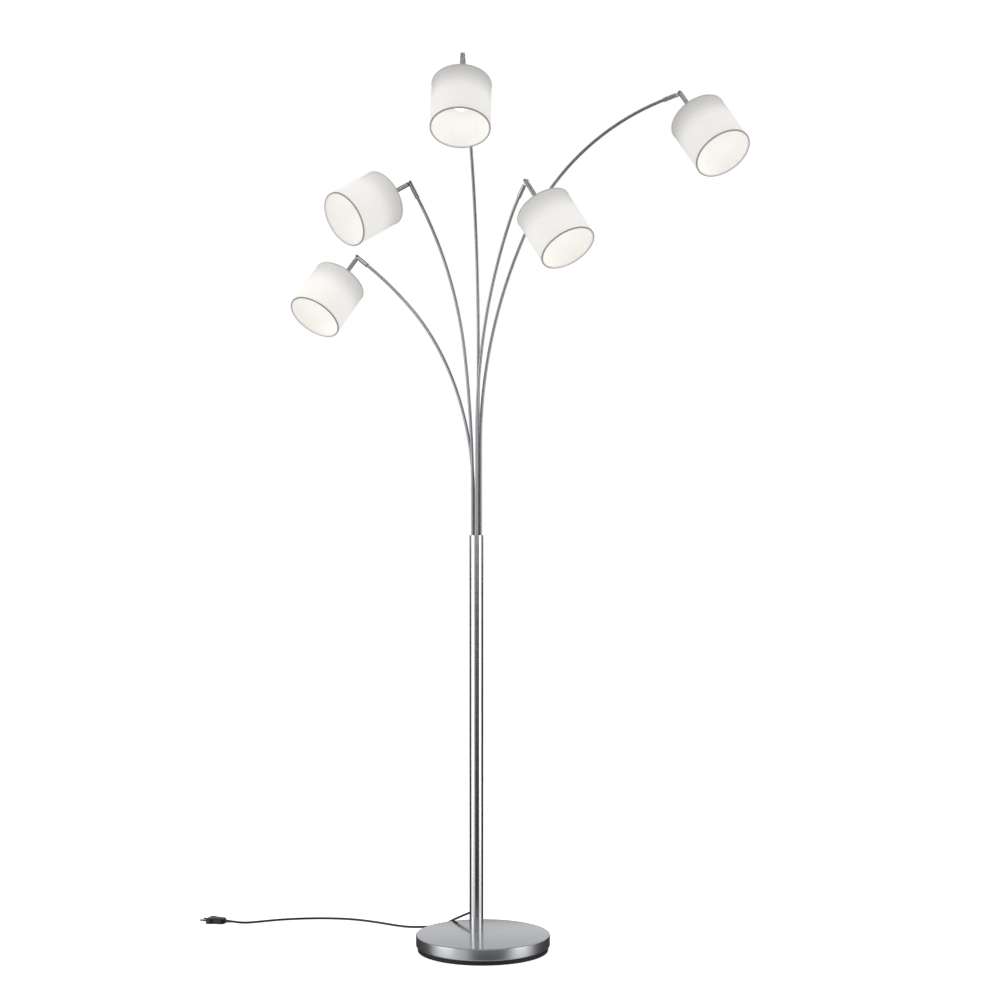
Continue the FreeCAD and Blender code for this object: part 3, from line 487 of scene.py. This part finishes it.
def hem_cloth_painted_shade(name, painted_shade_code):
    """The same cloth rolled over the wire, given a grey base colour as painted shade: several
    layers thick, so hardly any light comes through and it reads as a thin grey line."""
    material, tree, output = new_material(name)
    where = add(tree, "ShaderNodeTexCoord")
    folds = add(tree, "ShaderNodeTexNoise", {
        "Vector": where.outputs["Object"], "Scale": 700.0, "Detail": 3.0})
    share = add(tree, "ShaderNodeMapRange", {
        "Value": folds.outputs["Fac"], "To Min": 0.9, "To Max": 1.1})
    tint = varied(tree, colour(painted_shade_code), share.outputs["Result"])
    bump = add(tree, "ShaderNodeBump", {
        "Height": folds.outputs["Fac"], "Strength": 0.3, "Distance": 0.0002})
    surface(tree, output, {
        "Base Color": tint, "Roughness": 0.75, "Normal": bump.outputs["Normal"]})
    return material


def opal_glass():
    """Opal glass of a lit bulb: evenly white all over."""
    material, tree, output = new_material("lit opal glass")
    where = add(tree, "ShaderNodeTexCoord")
    cloud = add(tree, "ShaderNodeTexNoise", {"Vector": where.outputs["Object"], "Scale": 120.0})
    light = add(tree, "ShaderNodeMapRange", {
        "Value": cloud.outputs["Fac"], "To Min": 0.95, "To Max": 1.05})
    surface(tree, output, {
        "Base Color": colour("#F4F3F0"), "Roughness": 0.25, "IOR": 1.5,
        "Emission Color": colour("#FFFDF8"), "Emission Strength": light.outputs["Result"]})
    return material


# ================================================================== operators
class LAMP_OT_camera(bpy.types.Operator):
    """Set the camera where the photograph was taken from"""
    bl_idname = "lamp.camera"
    bl_label = "Camera"

    def execute(self, context):
        data = bpy.data.cameras.new("photo camera")
        data.sensor_width = CAMERA_SENSOR
        data.lens = CAMERA_LENS
        data.clip_start, data.clip_end = 0.1, 60.0
        camera = bpy.data.objects.new("photo camera", data)
        camera.location = CAMERA_PLACE
        camera.rotation_euler = (math.radians(90), 0, 0)
        context.scene.collection.objects.link(camera)
        context.scene.camera = camera
        return {"FINISHED"}


class LAMP_OT_cord(bpy.types.Operator):
    """Lay the mains cord from the post through the switch and the coil to the plug"""
    bl_idname = "lamp.cord"
    bl_label = "Mains cord"

    def coil_points(self):
        """Turns that run in on the upper layer and out on the lower one."""
        # the spline runs inside its points, so they stand out by this share
        outward = 1 / (0.75 + 0.25 * math.cos(math.tau / COIL_STEPS))
        points = []
        for step in range(1, int(COIL_TURNS * COIL_STEPS)):
            turns = step / COIL_STEPS
            away = turns - COIL_TURNS / 2
            radius = (COIL_OUTER - COIL_PITCH * (COIL_TURNS / 2 - abs(away))) * outward
            share = min(max(away / COIL_CROSSING + 0.5, 0.0), 1.0)
            drop = share * share * (3 - 2 * share)
            turn = math.tau * turns - math.pi / 2
            points.append((
                COIL_CENTRE[0] + radius * math.cos(turn), COIL_CENTRE[1] + radius * math.sin(turn),
                COIL_LOW + COIL_LAYER * (1 - drop)))
        return points

    def execute(self, context):
        settings = context.scene.lamp_cord
        route = list(DROP) + list(LEAD) + self.coil_points() + list(RUN)
        curve = bpy.data.curves.new("mains_cord", "CURVE")
        curve.dimensions = "3D"
        curve.bevel_depth = settings.diameter / 2
        curve.bevel_resolution = 5
        curve.resolution_u = 6
        curve.use_fill_caps = True
        line = curve.splines.new("NURBS")
        line.points.add(len(route) - 1)
        for place, values in zip(line.points, route):
            place.co = (*point(values), 1.0)
        line.order_u = 3
        line.use_endpoint_u = True
        curve.materials.append(moulded_plastic("black PVC sheath", settings.sheath, 0.55, 0.002))
        cord = bpy.data.objects.new("mains_cord", curve)
        context.scene.collection.objects.link(cord)
        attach(cord, "stand")
        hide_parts("cord_drop", "cord_lead", "cord_coil", "cord_run")
        return {"FINISHED"}


class LAMP_OT_base(bpy.types.Operator):
    """Make the spun cover of the base and finish its foot and its weight"""
    bl_idname = "lamp.base"
    bl_label = "Base"

    def execute(self, context):
        bm = bmesh.new()
        edge = BASE_RADIUS - BASE_TOP_EDGE
        curl = BASE_RADIUS - BASE_CURL
        profile = [(0.0, BASE_TOP), (edge, BASE_TOP)]
        profile += arc(edge, BASE_TOP - BASE_TOP_EDGE, BASE_TOP_EDGE, 90, 0, 6)[1:]
        profile += arc(curl, BASE_SKIRT_FOOT + BASE_CURL, BASE_CURL, 0, -90, 8)
        profile += [(curl, BASE_SKIRT_FOOT + BASE_SHEET)]
        spin_profile(bm, profile, BASE_STEPS, closed=False)
        cover = make_piece("brushed_base_cover", bm, "stand", spun_nickel(), 50)
        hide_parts("base_cover")
        dress(["base_foot"], moulded_plastic("black moulded foot", colour("#060606"), 0.7, 0.003))
        dress(["base_weight"], moulded_plastic("raw iron casting", colour("#2A2A2A"), 0.8, 0.004))
        return {"FINISHED"}


class LAMP_OT_post(bpy.types.Operator):
    """Finish the post, its collar and its fixings"""
    bl_idname = "lamp.post"
    bl_label = "Post"

    def execute(self, context):
        tint = context.scene.lamp_metal.tint
        nickel = brushed_nickel("brushed nickel tube", tint, POST_LINES, 0.03)
        dress(["post_tube"], nickel)
        zinc = turned_metal("zinc plated steel", colour("#B4B5B8"), 0.3)
        dress(["post_fixing", "collar_screw"], zinc)
        black = moulded_plastic("blackened steel collar", colour("#1C1C1C"), 0.45, 0.002)
        dress(["arm_collar"], black)
        rubber = moulded_plastic("black rubber relief", colour("#101010"), 0.6, 0.002)
        dress(["cord_grommet"], rubber)
        return {"FINISHED"}


class LAMP_OT_arms(bpy.types.Operator):
    """Finish the five bent arm tubes"""
    bl_idname = "lamp.arms"
    bl_label = "Arms"

    def execute(self, context):
        # a darker tint than the post's nickel: painted shade that stands in for the darker
        # reflections of the thin arms
        tint = colour("#8E8F92")
        nickel = brushed_nickel("brushed nickel arm", tint, ARM_LINES, 0.01, 0.14)
        dress(numbered("arm_tube"), nickel)
        return {"FINISHED"}


class LAMP_OT_knuckles(bpy.types.Operator):
    """Finish the knuckles and lampholders"""
    bl_idname = "lamp.knuckles"
    bl_label = "Knuckles and holders"

    def execute(self, context):
        rough = context.scene.lamp_metal.roughness + 0.1
        nickel = turned_metal("turned nickel plate", colour("#9C9DA0"), rough)
        dress(numbered("knuckle_sleeve"), nickel)
        satin = turned_metal("satin nickel plate", colour("#8A8B8E"), 0.38)
        dress(numbered("knuckle_stem") + numbered("lampholder"), satin)
        steel = turned_metal("dark screw steel", colour("#5A5A5C"), 0.2)
        dress(numbered("pivot_screw"), steel)
        white = moulded_plastic("white moulded ring", colour("#E4E2DE"), 0.4, 0.003)
        dress(numbered("shade_ring"), white)
        coat = moulded_plastic("white powder coat", colour("#E8E7E4"), 0.5, 0.002)
        dress(numbered("shade_frame"), coat)
        return {"FINISHED"}


class LAMP_OT_shades(bpy.types.Operator):
    """Make the fabric drums with their rolled hems"""
    bl_idname = "lamp.shades"
    bl_label = "Shades"

    def drum(self, first, full):
        """Open drum about Z from the pivot, with its cloth map and its glow,
        which climbs from its first to its full strength."""
        bm = bmesh.new()
        heights = [
            SHADE_TOP + (SHADE_RIM - SHADE_TOP) * row / SHADE_ROWS
            for row in range(SHADE_ROWS + 1)]
        inner = SHADE_RADIUS - SHADE_SKIN
        profile = [(SHADE_RADIUS, height) for height in heights]
        profile += [(inner, height) for height in reversed(heights)]
        spin_profile(bm, profile, SHADE_STEPS)
        layer = bm.loops.layers.uv.new("cloth")
        glow = bm.verts.layers.float.new("glow")
        for face in bm.faces:
            middle = face.calc_center_median()
            around = math.atan2(middle.y, middle.x)
            for loop in face.loops:
                turn = math.atan2(loop.vert.co.y, loop.vert.co.x)
                turn += round((around - turn) / math.tau) * math.tau
                loop[layer].uv = (turn * SHADE_RADIUS / 1000, loop.vert.co.z)
        for vert in bm.verts:
            share = (vert.co.z * 1000 - SHADE_TOP) / (SHADE_RIM - SHADE_TOP)
            rise = min(max(share / GLOW_CLIMB, 0.0), 1.0)
            rise = rise * rise * (3 - 2 * rise)
            fall = max((share - GLOW_FALL_FROM) / (1 - GLOW_FALL_FROM), 0.0)
            if vert.co.xy.length * 1000 > SHADE_RADIUS - SHADE_SKIN / 2:
                vert[glow] = first + (full - first) * rise - GLOW_FALL * fall * fall
            else:
                vert[glow] = GLOW_INSIDE + GLOW_INSIDE_CLIMB * rise
        return bm

    def hem(self, edge, way):
        """Cloth rolled round a wire at an edge of the drum; way is 1 at the
        top and -1 at the rim."""
        bm = bmesh.new()
        outer = SHADE_RADIUS + HEM_PROUD
        turned = min(HEM_HEIGHT, outer - HEM_INSIDE) / 2
        low = edge - way * HEM_PAST_EDGE
        profile = [(outer, low + way * HEM_HEIGHT)]
        profile += [
            (radius, low + way * height)
            for radius, height in arc(outer - turned, turned, turned, 0, -180, 10)]
        profile += [(outer - 2 * turned, low + way * HEM_HEIGHT)]
        spin_profile(bm, profile, SHADE_STEPS)
        return bm

    def seam(self):
        """Overlap of the cloth, a narrow strip down the upper side."""
        bm = bmesh.new()
        half = SEAM_WIDTH / 2 / SHADE_RADIUS
        thick = SHADE_RADIUS + SEAM_THICKNESS
        low = SHADE_TOP + HEM_HEIGHT - SEAM_PAST_HEM
        high = SHADE_RIM - HEM_HEIGHT + SEAM_PAST_HEM
        sunk = SHADE_RADIUS - SEAM_SUNK
        corners = ((sunk, low), (thick, low), (thick, high), (sunk, high))
        verts = [bm.verts.new(point((radius, 0.0, height))) for radius, height in corners]
        face = bm.faces.new(verts)
        turn = Matrix.Rotation(-half, 3, "Z")
        bmesh.ops.rotate(bm, cent=(0, 0, 0), matrix=turn, verts=bm.verts)
        bmesh.ops.spin(
            bm, geom=[face], cent=(0, 0, 0), axis=(0, 0, 1), dvec=(0, 0, 0),
            angle=2 * half, steps=4)
        bmesh.ops.recalc_face_normals(bm, faces=bm.faces)
        return bm

    def execute(self, context):
        cloth = woven_cloth()
        # both hems are painted grey as painted shade, the rim one darker
        top_hem = hem_cloth_painted_shade("rolled top hem", "#B2B1AF")
        rim_hem = hem_cloth_painted_shade("rolled rim hem", "#979694")
        for number in HEADS:
            place = head_place(number)
            # the seam is up and away from the camera
            upper = place.inverted().to_3x3() @ Vector((0.0, 0.6, 0.8))
            turned = place @ Matrix.Rotation(math.atan2(upper.y, upper.x), 4, "Z")
            pieces = [
                make_piece(
                    "%s_%d" % (kind, number), bm, "shade_%d" % number, material,
                    sharp, where)
                for kind, bm, material, sharp, where in (
                    ("cloth_drum", self.drum(*GLOW[number]), cloth, 50, place),
                    ("top_hem", self.hem(SHADE_TOP, 1), top_hem, 60, place),
                    ("rim_hem", self.hem(SHADE_RIM, -1), rim_hem, 60, place),
                    ("cloth_seam", self.seam(), cloth, 50, turned))]
            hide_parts("shade_drum_%d" % number)
        dress(numbered("bulb"), opal_glass())
        return {"FINISHED"}


class LAMP_OT_switch_and_plug(bpy.types.Operator):
    """Finish the foot switch and the plug"""
    bl_idname = "lamp.switch_and_plug"
    bl_label = "Switch and plug"

    def execute(self, context):
        tint = context.scene.lamp_cord.sheath
        for node, name, roughness in (
                ("switch_housing", "black ABS switch", 0.35),
                ("switch_button", "black ABS button", 0.28),
                ("plug", "black PVC plug", 0.45)):
            dress([node], moulded_plastic(name, tint, roughness, 0.002))
        return {"FINISHED"}


class LAMP_OT_stage(bpy.types.Operator):
    """Set the white floor, the lamps and the dark cards beside the object"""
    bl_idname = "lamp.stage"
    bl_label = "Stage"

    def paper(self):
        """Seamless white paper: shows white, and keeps the object's shadow."""
        material, tree, output = new_material("seamless white paper")
        where = add(tree, "ShaderNodeTexCoord")
        fibre = add(tree, "ShaderNodeTexNoise", {
            "Vector": where.outputs["Object"], "Scale": 400.0})
        soft = add(tree, "ShaderNodeMapRange", {
            "Value": fibre.outputs["Fac"], "To Min": 0.85, "To Max": 0.95})
        surface(tree, output, {
            "Base Color": bpy.context.scene.lamp_stage.paper,
            "Roughness": soft.outputs["Result"], "Specular IOR Level": 0.0,
            "Emission Color": (1, 1, 1, 1),
            "Emission Strength": math_node(tree, "MULTIPLY", seen_rays(tree), PAPER_LIFT)})
        return material

    def card(self, name, azimuth, rise, distance, middle, width, tall, shade):
        """Dark card that only reflections see. Some reach below the floor,
        because a bright metal side also mirrors what lies there."""
        material, tree, output = new_material("dark card " + name)
        surface(tree, output, {"Base Color": colour(shade), "Roughness": 0.9})
        bm = bmesh.new()
        bmesh.ops.create_grid(bm, x_segments=1, y_segments=1, size=0.5)
        lift = math.radians(rise)
        spot = compass(azimuth) * math.cos(lift) * distance
        turn = Matrix.Translation((spot.x, spot.y, middle + math.sin(lift) * distance))
        turn = turn @ Matrix.Rotation(math.radians(azimuth), 4, "Z")
        turn = turn @ Matrix.Rotation(math.radians(90 - rise), 4, "X")
        size = Matrix.Diagonal((width, tall, 1, 1))
        bmesh.ops.transform(bm, matrix=turn @ size, verts=bm.verts)
        card = object_from(name, bm, material)
        card.visible_camera = False
        card.visible_diffuse = False
        card.visible_transmission = False
        card.visible_shadow = False

    def lamp(self, name, azimuth, distance, height, width, tall, power):
        """Soft box that faces the object."""
        data = bpy.data.lights.new(name, "AREA")
        data.shape = "RECTANGLE"
        data.size, data.size_y = width, tall
        data.energy = power
        lamp = bpy.data.objects.new(name, data)
        spot = compass(azimuth) * distance
        lamp.location = (spot.x, spot.y, height)
        aim = Vector(LAMP_AIM) - lamp.location
        lamp.rotation_euler = aim.to_track_quat("-Z", "Y").to_euler()
        bpy.context.scene.collection.objects.link(lamp)

    def execute(self, context):
        bm = bmesh.new()
        bmesh.ops.create_grid(bm, x_segments=2, y_segments=2, size=PAPER_SIZE)
        floor = object_from("paper_floor", bm, self.paper())
        # the metal mirrors the cards below the floor instead
        floor.visible_glossy = False
        world = bpy.data.worlds.new("white studio")
        context.scene.world = world
        world.use_nodes = True
        tree = world.node_tree
        tree.nodes.clear()
        level = add(tree, "ShaderNodeMapRange", {
            "Value": seen_rays(tree), "To Min": context.scene.lamp_stage.fill, "To Max": 1.0})
        sky = add(tree, "ShaderNodeBackground", {
            "Color": (1, 1, 1, 1), "Strength": level.outputs["Result"]})
        output = add(tree, "ShaderNodeOutputWorld")
        tree.links.new(sky.outputs["Background"], output.inputs["Surface"])
        for lamp in LAMPS:
            self.lamp(*lamp)
        for card in CARDS:
            self.card(*card)
        context.scene.view_settings.view_transform = "Standard"
        return {"FINISHED"}


# ====================================================================== panel
class LAMP_PT_panel(bpy.types.Panel):
    """Steps that dress the lamp"""
    bl_label = "Tree floor lamp"
    bl_idname = "LAMP_PT_panel"
    bl_space_type = "VIEW_3D"
    bl_region_type = "UI"
    bl_category = "Tree lamp"

    def draw(self, context):
        for step in STEPS:
            self.layout.operator(step.bl_idname)


STEPS = (
    LAMP_OT_camera, LAMP_OT_cord, LAMP_OT_base, LAMP_OT_post, LAMP_OT_arms, LAMP_OT_knuckles,
    LAMP_OT_shades, LAMP_OT_switch_and_plug, LAMP_OT_stage,
)
SETTINGS = {
    "lamp_metal": LampMetal, "lamp_shade": LampShade, "lamp_cord": LampCord,
    "lamp_stage": LampStage,
}


def register():
    for name, group in SETTINGS.items():
        bpy.utils.register_class(group)
        setattr(bpy.types.Scene, name, bpy.props.PointerProperty(type=group))
    for step in STEPS:
        bpy.utils.register_class(step)
    bpy.utils.register_class(LAMP_PT_panel)


def unregister():
    bpy.utils.unregister_class(LAMP_PT_panel)
    for step in reversed(STEPS):
        bpy.utils.unregister_class(step)
    for name, group in SETTINGS.items():
        delattr(bpy.types.Scene, name)
        bpy.utils.unregister_class(group)


def main():
    """Register the add-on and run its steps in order."""
    register()
    for step in STEPS:
        module, name = step.bl_idname.split(".")
        getattr(getattr(bpy.ops, module), name)()


if __name__ == "__main__":
    main()
